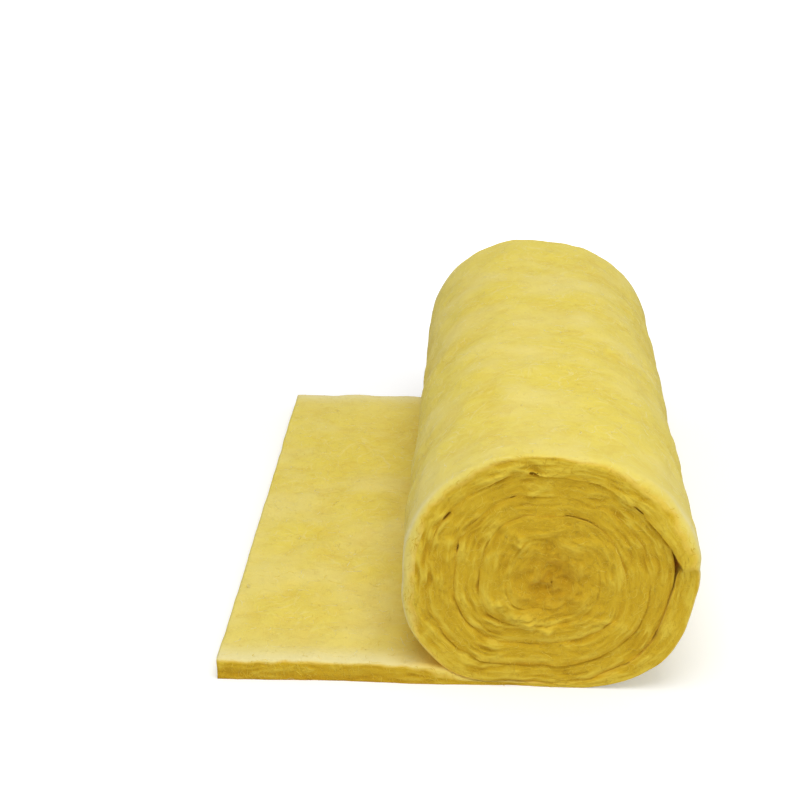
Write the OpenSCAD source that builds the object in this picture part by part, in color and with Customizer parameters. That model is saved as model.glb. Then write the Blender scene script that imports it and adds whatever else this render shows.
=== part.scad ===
// Roll of glass wool insulation, lying on its side and partly unrolled.
// It is one mat. It is wound on itself from the eye outwards, and its free end is laid flat on
// the floor and runs back under the roll to become the last turn.
// X points away from the free end, Y runs along the axis of the roll and Z is up. The origin is
// on the floor, under the eye and halfway along the roll.
// Every turn is made of true arcs joined by straight runs, each starting where the one before it
// ended. On the right it is a half round. On the left, where the roll leans on its free end, it
// sags: its lower quarter round is tighter than the upper one, with a short upright run between.

/* [Mat] */
// Width of the mat, which is the length of the roll
mat_width = 1200; // [600:10:1800]
// Thickness of the mat where nothing presses on it
mat_thickness = 31; // [26:1:45]
// Thickness of the mat where the roll lies on it
pressed_thickness = 14; // [8:1:22]
// How far the free end reaches beyond the side of the roll
free_length = 280; // [100:10:900]

/* [Winding] */
// Number of turns round the eye
turns = 6; // [3:1:9]
// Thickness that one turn takes up in the roll
turn_pitch = 30.5; // [24:0.5:40]
// Radius of the eye
eye_radius = 7; // [4:0.5:12]
// Level run of the last turn on the side of the free end
run_left = 48; // [10:1:80]
// Level run of the turn inside the last one, on the other side
run_right = 20; // [5:1:60]
// How far the last turn sags outwards, low on the side of the free end
sag = 40; // [10:1:60]
// Gap between the last turn and the roll, where that turn stands off at the side
slack_gap = 10; // [4:0.5:20]
// Half angle of the stretch that stands off, in degrees
slack_half_angle = 50; // [35:1:65]

/* [Seam between the turns] */
// Width of the seam where it opens on the ends of the roll
seam_width = 9; // [4:0.5:14]
// Depth of the seam
seam_depth = 14; // [6:1:40]

/* [Hidden] */
$fn = 96;
// How far a cut runs past the face that it opens on
past = 5;

// Height of the eye: the pressed free end and the other turns lie under it
eye_z = pressed_thickness + (turns - 1) * turn_pitch + eye_radius;
// Height of the roll
roll_height = eye_z + eye_radius + turns * turn_pitch;

// Highest and lowest level that the seam reaches on turn k, counted from the eye
function level_top(k) = eye_z + eye_radius + k * turn_pitch;
function level_bottom(k) = k < turns ? eye_z - eye_radius - k * turn_pitch : 0;

// On the left turn k climbs from the bottom of turn k - 1 to the top of turn k, round a lower and
// an upper quarter
function sag_of(k) = sag * k / turns;
function upper_radius(k) = (level_top(k) - level_bottom(k - 1)) / 2;
function upper_z(k) = level_top(k) - upper_radius(k);
function upper_x(k) = -run_left * k / turns;
function lower_radius(k) = upper_radius(k) - sag_of(k);
function lower_z(k) = level_bottom(k - 1) + lower_radius(k);
function lower_x(k) = upper_x(k) - sag_of(k);
function left_side(k) = upper_x(k) - upper_radius(k);

// Turn k's half round on the right falls from the top of turn k to its bottom
function right_radius(k) = (level_top(k) - level_bottom(k)) / 2;
function right_z(k) = (level_top(k) + level_bottom(k)) / 2;
// The last turn stands off the one inside it, so its centre follows from the gap
function right_x(k) = k < turns
    ? run_right * k / (turns - 1)
    : right_x(k - 1) + right_radius(k - 1) + slack_gap + turn_pitch - right_radius(k);

// The stretch that stands off leaves a crescent beside the roll. Its inner side is the roll
// itself, and its outer side is an arc that meets the roll at the half angle.
inner_radius = right_radius(turns - 1);
crescent_shift = (slack_gap ^ 2 + 2 * inner_radius * slack_gap)
    / (2 * inner_radius * (1 - cos(slack_half_angle)) + 2 * slack_gap);
crescent_radius = inner_radius + slack_gap - crescent_shift;

// The mat's free end, and the place where the roll sits down on it
end_x = left_side(turns) - free_length;
nip_rise = lower_z(turns) - mat_thickness;
nip_x = lower_x(turns) - sqrt(lower_radius(turns) ^ 2 - nip_rise ^ 2);

// Stands a drawing made in X and Y up, so that its Y becomes Z and its Z runs towards the near end
module upright() {
    rotate([90, 0, 0]) children();
}

// Half of a disc that faces right for side 1 and left for side -1
module half_disc(side, x, z, radius) {
    intersection() {
        translate([x, z]) circle(radius);
        translate([side > 0 ? x : x - radius - past, z - radius - past])
            square([radius + past, 2 * (radius + past)]);
    }
}

// Rectangle between two corners
module block(from_x, from_z, to_x, to_z) {
    translate([from_x, from_z]) square([to_x - from_x, to_z - from_z]);
}

// Outline of the roll and of the free end that it lies on
module section() {
    half_disc(1, right_x(turns), right_z(turns), right_radius(turns));
    half_disc(-1, upper_x(turns), upper_z(turns), upper_radius(turns));
    half_disc(-1, lower_x(turns), lower_z(turns), lower_radius(turns));
    block(left_side(turns), lower_z(turns), upper_x(turns), upper_z(turns));
    block(upper_x(turns), 0, right_x(turns), roll_height);
    block(lower_x(turns), 0, upper_x(turns), lower_z(turns));
    block(end_x, 0, lower_x(turns), mat_thickness);
}

// The gap beside the roll where the last turn stands off
module slack_crescent() {
    translate([right_x(turns - 1), right_z(turns - 1)]) difference() {
        translate([crescent_shift, 0]) circle(crescent_radius);
        circle(inner_radius);
    }
}

// Section of the seam, with its bottom seam_depth inside the end face at height 0
module seam_notch() {
    open = seam_width / 2 * (seam_depth + past) / seam_depth;
    polygon([[0, -seam_depth], [open, past], [-open, past]]);
}

// Arc of the seam about a centre, from one angle to another, in degrees from the right and upwards
module seam_arc(x, z, radius, from, to) {
    translate([x, z, 0]) rotate([0, 0, from])
        rotate_extrude(angle = to - from) translate([radius, 0]) seam_notch();
}

// Level run of the seam
module seam_run(from_x, to_x, z) {
    translate([from_x, z, 0]) rotate([90, 0, 90])
        linear_extrude(height = to_x - from_x) seam_notch();
}

// Upright run of the seam
module seam_rise(x, from_z, to_z) {
    translate([x, to_z, 0]) rotate([90, 0, 0])
        linear_extrude(height = to_z - from_z) seam_notch();
}

// The whole seam on one end, from the eye to the outside of the last turn and the free end's edges
module seam() {
    for (k = [1 : turns]) {
        seam_run(lower_x(k), right_x(k - 1), level_bottom(k - 1));
        seam_arc(lower_x(k), lower_z(k), lower_radius(k), 180, 270);
        seam_rise(left_side(k), lower_z(k), upper_z(k));
        seam_arc(upper_x(k), upper_z(k), upper_radius(k), 90, 180);
        seam_run(upper_x(k), right_x(k), level_top(k));
        seam_arc(right_x(k), right_z(k), right_radius(k), -90, 90);
    }
    seam_run(end_x - past, nip_x, mat_thickness);
    seam_run(end_x - past, right_x(turns), 0);
}

module wool_mat() {
    color([0.86, 0.71, 0.24]) difference() {
        upright() linear_extrude(height = mat_width, center = true) section();
        upright() linear_extrude(height = mat_width + 2 * past, center = true) {
            translate([0, eye_z]) circle(eye_radius);
            slack_crescent();
        }
        upright() for (end = [0, 1])
            mirror([0, 0, end]) translate([0, 0, mat_width / 2]) seam();
    }
}

wool_mat();
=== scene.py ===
"""Dresses the roll of glass wool insulation and sets it on a studio floor.

The mat is modelled as it is made: a flat slab, cut into a fine grid, that is then rolled up along
the same arcs and runs as the solid part. Its cut edges get their layers, tufts and seams, and loose
fibres are laid over it at the end.
"""

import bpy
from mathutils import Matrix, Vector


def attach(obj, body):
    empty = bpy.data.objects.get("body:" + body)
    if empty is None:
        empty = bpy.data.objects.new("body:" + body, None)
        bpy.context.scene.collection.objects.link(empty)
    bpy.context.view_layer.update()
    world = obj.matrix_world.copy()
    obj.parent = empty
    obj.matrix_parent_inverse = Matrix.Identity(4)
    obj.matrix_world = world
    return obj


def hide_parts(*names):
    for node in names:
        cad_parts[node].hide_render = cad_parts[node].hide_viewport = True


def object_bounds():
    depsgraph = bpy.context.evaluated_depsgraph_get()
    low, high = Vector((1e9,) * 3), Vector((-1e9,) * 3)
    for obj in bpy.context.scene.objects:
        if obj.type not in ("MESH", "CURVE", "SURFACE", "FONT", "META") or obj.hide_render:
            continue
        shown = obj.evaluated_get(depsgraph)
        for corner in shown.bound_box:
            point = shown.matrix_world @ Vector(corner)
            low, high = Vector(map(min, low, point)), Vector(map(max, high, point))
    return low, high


bl_info = {
    "name": "Glass Wool Roll",
    "version": (1, 0, 0),
    "blender": (4, 5, 0),
    "location": "View3D > Sidebar > Wool Roll",
    "description": "Models a partly unrolled roll of glass wool and the stage that it lies on",
    "category": "Add Mesh",
}

import math
from typing import NamedTuple

import bmesh
import bpy
import numpy as np
from bpy.props import FloatProperty, FloatVectorProperty, IntProperty, PointerProperty
from mathutils import Vector, noise
from mathutils.bvhtree import BVHTree

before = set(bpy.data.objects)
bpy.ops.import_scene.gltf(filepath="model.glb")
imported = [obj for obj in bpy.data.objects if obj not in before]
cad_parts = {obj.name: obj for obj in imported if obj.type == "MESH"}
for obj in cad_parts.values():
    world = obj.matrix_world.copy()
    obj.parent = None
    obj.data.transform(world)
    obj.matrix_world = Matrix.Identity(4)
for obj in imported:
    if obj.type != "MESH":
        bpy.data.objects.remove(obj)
CAD_LOW, CAD_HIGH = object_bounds()
NODE = "wool_mat"
MAT = "wound_mat"
BODY = "root"
WHITE = (1.0, 1.0, 1.0, 1.0)
# Places on the flat mat that are nearer to each other than this are the same
NEAR = 1e-5


def number(name, description, default, **kind):
    """A property that holds a number."""
    return FloatProperty(name=name, description=description, default=default, **kind)


def length(name, description, default):
    """A property that holds a length in metres."""
    return number(name, description, default, unit="LENGTH", precision=4)


def angle(name, description, degrees):
    """A property that holds an angle, given here in degrees."""
    return number(name, description, math.radians(degrees), subtype="ANGLE")


def power(name, description, default):
    """A property that holds a light's power in watts."""
    return number(name, description, default, unit="POWER")


def whole(name, description, default, least=1):
    """A property that holds a whole number."""
    return IntProperty(name=name, description=description, default=default, min=least)


def colour(name, description, default):
    """A property that holds a linear colour."""
    return FloatVectorProperty(name=name, description=description, default=default,
                               subtype="COLOR", min=0.0, max=1.0)


def position(name, description, default):
    """A property that holds a place in metres."""
    return FloatVectorProperty(name=name, description=description, default=default,
                               subtype="TRANSLATION")


class MatSizes(bpy.types.PropertyGroup):
    """Sizes of the mat and of its winding."""

    width: length("Width", "Width of the mat, along the roll", CAD_HIGH.y - CAD_LOW.y)
    end_x: length("Free end", "Where the free end stops", CAD_LOW.x)
    thickness: length("Thickness", "Thickness of the free end", 0.031)
    pressed: length("Pressed thickness", "Thickness under the roll", 0.014)
    turns: whole("Turns", "Turns round the eye", 6, least=3)
    turn_pitch: length("Turn pitch", "Thickness that one turn takes up", 0.0305)
    eye_radius: length("Eye radius", "Radius that the winding keeps free for the eye", 0.007)
    eye_start: length("Eye start", "Radius left open where the mat begins", 0.0006)
    eye_end: length("Eye end", "Radius left open after the first turn", 0.0014)
    run_left: length("Left run", "Level run of the last turn on the left", 0.048)
    run_right: length("Right run", "Level run of the turn inside the last one", 0.020)
    sag: length("Sag", "How far the last turn sags outwards on the left", 0.040)
    slack_gap: length("Slack gap", "Gap where the last turn stands off", 0.010)
    slack_half_angle: angle("Slack half angle", "Half of the stretch that stands off", 50.0)


class MatRelief(bpy.types.PropertyGroup):
    """How rough the wool is."""

    wander: length("Wander", "How far the turns stray from their true line", 0.0060)
    seed: whole("Seed", "Sets which way the turns stray", 4)
    telescope: length("Telescope", "How far a turn stands out of the roll's end", 0.0045)
    layers: length("Layers", "Height of the layers on the cut edge", 0.0012)
    tufts: length("Tufts", "Height of the tufts on the cut edge", 0.0025)
    core_tufts: length("Core tufts", "Height of the torn wool round the eye", 0.0085)
    core_reach: length("Core reach", "How far the torn wool reaches from the eye", 0.075)
    dents: length("Dents", "Depth of the dents in the faces that show", 0.0036)
    dimple: length("Dimple", "Depth of the hollow round the eye", 0.012)
    crown: length("Crown", "How far the top of the roll swells at its ends", 0.011)
    crown_shift: length("Crown shift", "How far left of its middle the top swells most", 0.025)
    pressed_side: length("Pressed side", "How far the right side is pressed in at the near end", 0.0065)
    bulge: length("Bulge", "How far the near end bulges out, low on the right", 0.006)
    lap_step: length("Lap step", "How far the last turn stands out at the near end", 0.006)
    overlap: length("Overlap", "How far the turns press into each other at the ends", 0.0012)
    squeeze: length("Squeeze", "How far the ends of the roll sink into the free end's edges", 0.008)
    top_shoulder: length("Top shoulder", "Rounding of the last turn's edges on top", 0.004)
    side_shoulder: length("Side shoulder", "Rounding of the last turn's edges at its sides", 0.018)
    corner_shoulder: length("Corner shoulder", "Rounding added at the upper right", 0.010)
    floor_shoulder: length("Free end's shoulder", "Rounding of the free end's edges", 0.006)
    pressed_shoulder: length("Pressed shoulder", "Rounding of those edges under the roll", 0.010)
    seam_depth: length("Seam depth", "How far the cut edge dips between two turns", 0.0032)
    seam_reach: length("Seam reach", "How far from the seam the dip begins", 0.0085)
    ring_angle: angle("Ring angle", "Where the seams dip most, round the eye", 240.0)
    crease: length("Crease", "Depth of the crease across the last turn", 0.0024)
    crease_step: length("Crease step", "How far the wool above the crease stands out", 0.009)
    crease_angle: angle("Crease angle", "Where the last turn is creased, up from the right", 6.0)
    wedge: length("Wedge", "How far the last turn stands off at the crease", 0.0165)


class FibreSettings(bpy.types.PropertyGroup):
    """Loose fibres that lie on the wool."""

    end_count: whole("On an end", "Fibres on each end of the roll", 6000)
    outside_count: whole("Outside", "Fibres on the outside of the roll", 6000)
    floor_count: whole("Free end", "Fibres on the free end", 3000)
    shortest: length("Shortest", "Length of the shortest fibre", 0.007)
    longest: length("Longest", "Length of the longest fibre", 0.028)
    finest: length("Finest", "Thickness of the finest fibre", 0.00025)
    coarsest: length("Coarsest", "Width of the coarsest wisp", 0.0018)
    lift: length("Lift", "How far the tips stand off the wool", 0.0004)


class WoolColours(bpy.types.PropertyGroup):
    """Colours of the wool, and of the shade and light painted on it."""

    # Deep, middle and crest follow the cut edge's relief: partly the wool's own tone, partly painted shade
    # and highlight
    deep: colour("Deep", "In the hollows of the cut edge", (0.58, 0.350, 0.013))
    middle: colour("Middle", "The cut edge", (0.68, 0.446, 0.022))
    crest: colour("Crest", "The ridges of the cut edge", (0.79, 0.59, 0.060))
    # Warm shows most in the faces' dents, where it is painted shade
    warm: colour("Warm", "Dents in the faces of the mat", (0.77, 0.585, 0.078))
    lemon: colour("Lemon", "Faces of the mat", (0.83, 0.675, 0.105))
    # Pale and frost also paint a highlight along the open, rounded rims
    pale: colour("Pale", "Pale patches and loose fibres on the faces", (0.87, 0.74, 0.27))
    frost: colour("Frost", "The palest loose fibres", (0.88, 0.80, 0.45))
    fringe: colour("Fringe", "Where the faces turn into the cut edge", (0.86, 0.58, 0.080))
    # Painted shade: the colour that the seams, the foot of the free end and the eye darken towards
    groove: colour("Groove", "In the seams and the eye", (0.55, 0.28, 0.006))
    # Painted warm shade where the roll meets its free end, standing in for light bounced there
    nook: colour("Nook", "Where the roll meets its free end", (0.90, 0.61, 0.040))
    # Painted glow of light bounced inside the gaps between the turns
    pocket: colour("Pocket", "Inside the gaps between the turns", (0.88, 0.42, 0.020))


class StageSettings(bpy.types.PropertyGroup):
    """Camera, lights and floor."""

    lens: number("Lens", "Focal length in millimetres", 85.0, unit="CAMERA")
    sensor: number("Sensor", "Width of the camera's sensor in millimetres", 36.0, unit="CAMERA")
    camera: position("Camera", "Place of the camera", (-0.0916, -3.142, 1.380))
    tilt: angle("Tilt", "How far the camera looks down", 19.95)
    turn: angle("Turn", "How far the camera looks to the left", 2.993)
    target: position("Target", "The place that the lights face", (0.0, 0.0, 0.15))
    key: power("Key light", "Power of the light overhead", 147.0)
    key_size: length("Key size", "Breadth of the light overhead", 3.4)
    key_place: position("Key place", "Place of the light overhead", (0.3, -1.8, 4.8))
    fill: power("Fill light", "Power of the light in front", 13.5)
    fill_size: length("Fill size", "Breadth of the light in front", 2.0)
    fill_place: position("Fill place", "Place of the light in front", (0.8, -3.4, 1.0))
    back: power("Back light", "Power of the light behind", 9.0)
    back_size: length("Back size", "Breadth of the light behind", 2.0)
    back_place: position("Back place", "Place of the light behind", (0.6, 3.1, 1.3))
    sky: number("Sky", "Strength of the light from all round", 0.46)
    floor: length("Floor", "Breadth of the floor", 80.0)
    sight: length("Sight", "How far the camera sees", 200.0)


class Winding:
    """Where the mat lies when it is rolled up, as two lines in X and Z: its outer face and its inner
    face, from the eye outwards."""

    # Points on a stretch of the lines, and how many stretches a turn and the run on the floor have
    STRETCH = 200
    STRETCHES = 6
    FLOOR_STRETCHES = 4

    def __init__(self, sizes):
        self.sizes = sizes
        self.turns = sizes.turns
        self.eye_z = sizes.pressed + (sizes.turns - 1) * sizes.turn_pitch + sizes.eye_radius
        self.eye = np.array([0.0, self.eye_z])
        self.roll_side = self.lower_centre(self.turns)[0] - self.lower_radius(self.turns)
        self.lay()

    # Levels, radii and centres of the outer line of turn k, counted from the eye

    def top(self, k):
        return self.eye_z + self.sizes.eye_radius + k * self.sizes.turn_pitch

    def bottom(self, k):
        level = self.eye_z - self.sizes.eye_radius - k * self.sizes.turn_pitch
        return level if k < self.turns else 0.0

    def right_radius(self, k):
        return (self.top(k) - self.bottom(k)) / 2

    def right_x(self, k):
        if k < self.turns:
            return self.sizes.run_right * k / (self.turns - 1)
        inside = self.right_x(k - 1) + self.right_radius(k - 1)
        return inside + self.sizes.slack_gap + self.sizes.turn_pitch - self.right_radius(k)

    def right_centre(self, k):
        return np.array([self.right_x(k), (self.top(k) + self.bottom(k)) / 2])

    def upper_radius(self, k):
        return (self.top(k) - self.bottom(k - 1)) / 2

    def upper_centre(self, k):
        return np.array([-self.sizes.run_left * k / self.turns, self.top(k) - self.upper_radius(k)])

    def lower_radius(self, k):
        return self.upper_radius(k) - self.sizes.sag * k / self.turns

    def lower_centre(self, k):
        x = self.upper_centre(k)[0] - self.sizes.sag * k / self.turns
        return np.array([x, self.bottom(k - 1) + self.lower_radius(k)])

    def arc(self, centre, radius, start, end):
        """Points on an arc, without its last one, the angles in degrees."""
        turn = np.radians(np.linspace(start, end, self.STRETCH, endpoint=False))
        return centre + radius * np.stack([np.cos(turn), np.sin(turn)], 1)

    def run(self, start, end):
        """Points on a straight run, without its last one."""
        along = np.linspace(0.0, 1.0, self.STRETCH, endpoint=False)[:, None]
        return np.array(start) * (1 - along) + np.array(end) * along

    def turn_line(self, k):
        """The outer line of turn k, from its bottom run to the end of its right half round."""
        lower, upper, right = self.lower_centre(k), self.upper_centre(k), self.right_centre(k)
        side = upper[0] - self.upper_radius(k)
        return np.concatenate([
            self.run((self.right_x(k - 1), self.bottom(k - 1)), (lower[0], self.bottom(k - 1))),
            self.arc(lower, self.lower_radius(k), 270, 180),
            self.run((side, lower[1]), (side, upper[1])),
            self.arc(upper, self.upper_radius(k), 180, 90),
            self.run((upper[0], self.top(k)), (right[0], self.top(k))),
            self.arc(right, self.right_radius(k), 90, -90),
        ])

    def eye_line(self, first):
        """The inner line of the first turn: an eye that widens from where the mat begins."""
        sizes = self.sizes
        radius = np.linspace(sizes.eye_start, sizes.eye_end, len(first), endpoint=False)[:, None]
        away = first - self.eye
        return self.eye + radius * away / np.linalg.norm(away, axis=1, keepdims=True)

    def free_end(self):
        """The two faces of the stretch that lies on the floor."""
        n = self.turns
        start = self.right_x(n)
        floor = np.linspace(start, self.sizes.end_x, self.FLOOR_STRETCHES * self.STRETCH)
        centre, radius = self.lower_centre(n), self.lower_radius(n)
        reach = np.clip(centre[0] - floor, 0, radius)
        roll_over = centre[1] - np.sqrt(radius ** 2 - reach ** 2)
        face = np.minimum(self.sizes.thickness, roll_over)
        lead = np.clip((floor - centre[0]) / (start - centre[0]), 0, 1)
        shift = (self.right_x(n - 1) - start) * lead
        return np.stack([floor, np.zeros_like(floor)], 1), np.stack([floor + shift, face], 1)

    def nook(self):
        """Where the roll meets the top of its free end."""
        centre, radius = self.lower_centre(self.turns), self.lower_radius(self.turns)
        reach = math.sqrt(radius ** 2 - (centre[1] - self.sizes.thickness) ** 2)
        return np.array([centre[0] - reach, self.sizes.thickness])

    def lay(self):
        """Joins the stretches up and measures them halfway through the mat."""
        n = self.turns
        turns = [self.turn_line(k) for k in range(1, n + 1)]
        floor, face = self.free_end()
        self.outer = np.concatenate(turns + [floor])
        self.inner = np.concatenate([self.eye_line(turns[0])] + turns[:-1] + [face])
        middle = (self.outer + self.inner) / 2
        steps = np.linalg.norm(np.diff(middle, axis=0), axis=1)
        self.along = np.concatenate([[0.0], np.cumsum(steps)])
        one_turn = self.STRETCHES * self.STRETCH
        self.turn_starts = self.along[:one_turn * n:one_turn]
        self.last_turn = self.turn_starts[-1]
        self.half_round = self.along[one_turn * n - self.STRETCH]
        self.floor_run = self.along[one_turn * n]
        self.end = self.along[-1]

    def faces_at(self, along):
        """Points on the outer and the inner face at these lengths along the mat."""
        outer = [np.interp(along, self.along, self.outer[:, i]) for i in (0, 1)]
        inner = [np.interp(along, self.along, self.inner[:, i]) for i in (0, 1)]
        return np.stack(outer, 1), np.stack(inner, 1)


class Lumps(NamedTuple):
    """Soft noise in the wool: the size of its lumps in metres, one number or one for each way, where
    in the noise it is read, and its octaves."""

    size: float | tuple
    shift: float
    octaves: int = 2


# How much each octave of the noise loses, and how much finer it is than the one before
OCTAVE_LOSS, OCTAVE_STEP = 1.0, 2.0


def clouds(places, lumps):
    """Soft noise from about -1 to 1 at each place."""
    scaled = places / np.array(lumps.size) + lumps.shift
    return np.array([noise.fractal(Vector(p), OCTAVE_LOSS, OCTAVE_STEP, lumps.octaves) for p in scaled])


def drift(places, lumps):
    """Soft noise of one octave, as a vector at each place."""
    scaled = places / np.array(lumps.size) + lumps.shift
    return np.array([noise.noise_vector(Vector(p)) for p in scaled])


def smooth(value):
    """Eases a value that runs from 0 to 1."""
    value = np.clip(value, 0, 1)
    return value * value * (3 - 2 * value)


def bell(value, breadth):
    """A bump that is 1 at 0 and fades to both sides over that breadth."""
    return np.exp(-(value / breadth) ** 2)


def decay(value, reach):
    """A value that is 1 at 0 and dies away over that reach."""
    return np.exp(-value / reach)


def rounding(distance, radius):
    """How far a rounded edge lies back, at a distance from the face it runs into."""
    reach = np.clip(1 - distance / radius, 0, 1)
    return radius * (1 - np.sqrt(1 - reach ** 2))


def pick_edges(piece, wanted):
    """Selects the edges, in edit mode, for which wanted says yes to their two ends."""
    mesh = bmesh.from_edit_mesh(piece.data)
    for face in mesh.faces:
        face.select_set(False)
    for edge in mesh.edges:
        edge.select_set(bool(wanted(edge.verts[0].co, edge.verts[1].co)))
    bmesh.update_edit_mesh(piece.data)


def finish_mesh(piece):
    """Turns the faces of a piece outwards and shades them smooth."""
    bpy.ops.object.select_all(action="DESELECT")
    bpy.context.view_layer.objects.active = piece
    piece.select_set(True)
    bpy.ops.object.mode_set(mode="EDIT")
    bpy.ops.mesh.select_all(action="SELECT")
    bpy.ops.mesh.normals_make_consistent(inside=False)
    bpy.ops.object.mode_set(mode="OBJECT")
    bpy.ops.object.shade_smooth()


class FlatMat:
    """The mat as a flat slab. Its X is the length along the mat, Y the place across its width, and Z
    the depth from its outer face, 0, to its inner face, 1."""

    # Rows along the edges, by their distance from them, and how often each stretch is cut
    ROWS_FROM_EDGE = (0.008, 0.020, 0.035, 0.060)
    WOUND_CUTS = (26, 26)
    LAST_CUTS = (17, 21)
    WIDTH_CUTS = 74
    DEPTH_CUTS = 19
    # How far into the last turn its outer rim still lies closed
    CLOSED_RUN = 0.05

    def __init__(self, winding, name):
        self.winding = winding
        self.half = winding.sizes.width / 2
        bpy.ops.object.select_all(action="DESELECT")
        bpy.ops.mesh.primitive_cube_add(size=1.0)
        self.object = bpy.context.object
        self.object.name = name
        self.object.data.name = name
        bpy.ops.object.mode_set(mode="EDIT")
        bpy.context.tool_settings.mesh_select_mode = (False, True, False)
        bpy.ops.transform.resize(value=(winding.end, winding.sizes.width, 1.0))
        bpy.ops.transform.translate(value=(winding.end / 2, 0.0, 0.5))
        self.cut_lengths()
        self.cut_rows()
        self.cut_depth()
        self.mark_seams()
        bpy.ops.object.mode_set(mode="OBJECT")

    def bisect(self, place, normal):
        bpy.ops.mesh.select_all(action="SELECT")
        bpy.ops.mesh.bisect(plane_co=place, plane_no=normal)

    def cut_lengths(self):
        """Cuts the slab into short lengths, shorter where it is wound tight."""
        split = self.winding.last_turn
        self.bisect((split, 0, 0), (1, 0, 0))
        for cuts, low, high in ((self.WOUND_CUTS, 0.0, split), (self.LAST_CUTS, split, self.winding.end)):
            for cut in cuts:
                pick_edges(self.object, lambda a, b: abs(a.x - b.x) > NEAR
                           and low - NEAR <= min(a.x, b.x) and max(a.x, b.x) <= high + NEAR)
                bpy.ops.mesh.subdivide(number_cuts=cut)

    def cut_rows(self):
        """Cuts rows along both edges, and then across the faces that show."""
        for back in self.ROWS_FROM_EDGE:
            for side in (-1, 1):
                self.bisect((0, side * (self.half - back), 0), (0, 1, 0))
        split, floor_run, end = self.winding.last_turn, self.winding.floor_run, self.winding.end
        span = self.half - max(self.ROWS_FROM_EDGE)

        def shows(a, b):
            across = abs(a.y - b.y) > span
            outside = a.z < 0.5 and split - NEAR <= a.x <= floor_run
            on_top = a.z > 0.5 and a.x >= floor_run
            return across and (outside or on_top or a.x > end - NEAR)

        pick_edges(self.object, shows)
        bpy.ops.mesh.subdivide(number_cuts=self.WIDTH_CUTS)

    def cut_depth(self):
        """Cuts the edges of the mat through its thickness."""
        pick_edges(self.object, lambda a, b: abs(a.z - b.z) > 0.5)
        bpy.ops.mesh.subdivide(number_cuts=self.DEPTH_CUTS)

    def mark_seams(self):
        """Marks the rims that lie against the next turn as sharp, so that they aren't shaded round."""
        split, floor_run = self.winding.last_turn, self.winding.floor_run

        def closed(a, b):
            on_rim = min(abs(a.y), abs(b.y)) > self.half - NEAR and abs(a.z - b.z) < NEAR
            outside = a.z < NEAR and max(a.x, b.x) < split + self.CLOSED_RUN
            inside = a.z > 1 - NEAR and max(a.x, b.x) < floor_run
            return on_rim and (outside or inside)

        pick_edges(self.object, closed)
        bpy.ops.mesh.mark_sharp()

    def places(self):
        """Every vertex as its length along the mat, place across it and depth."""
        mesh = self.object.data
        flat = np.empty(len(mesh.vertices) * 3)
        mesh.vertices.foreach_get("co", flat)
        return flat.reshape(-1, 3)


# Splits on the ends of the roll: the turn outside which each one lies, where it begins and ends, in
# degrees up from the right and round the eye, and how far it opens
SPLITS = (
    (5, 143.0, 151.0, 0.0065),
    (5, 112.0, 123.0, 0.0045),
    (5, 97.0, 104.0, 0.0085),
    (5, 54.0, 92.0, 0.0028),
    (5, 37.0, 50.0, 0.0065),
    (5, -18.0, 7.0, 0.0036),
    (5, -33.0, -24.0, 0.0055),
    (5, -52.0, -46.0, 0.0050),
    (4, 178.0, 238.0, 0.0026),
    (4, 157.0, 165.0, 0.0045),
    (4, 112.0, 119.0, 0.0040),
    (3, 44.0, 92.0, 0.0048),
    (3, -4.0, 44.0, 0.0022),
    (3, 205.0, 236.0, 0.0024),
)
# How far round the eye the same splits lie at the far end of the roll
FAR_TURN = math.radians(137.0)
# Tufts that stand out of the ends: their place from the eye, across and up, their breadth and height
TUFTS = (
    (-0.078, -0.032, 0.012, 0.006),
    (-0.055, -0.050, 0.014, 0.008),
    (-0.030, -0.064, 0.015, 0.009),
    (0.000, -0.072, 0.014, 0.008),
    (0.044, -0.030, 0.012, 0.005),
    (-0.058, 0.058, 0.016, 0.004),
    (0.072, -0.060, 0.014, 0.004),
)


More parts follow.
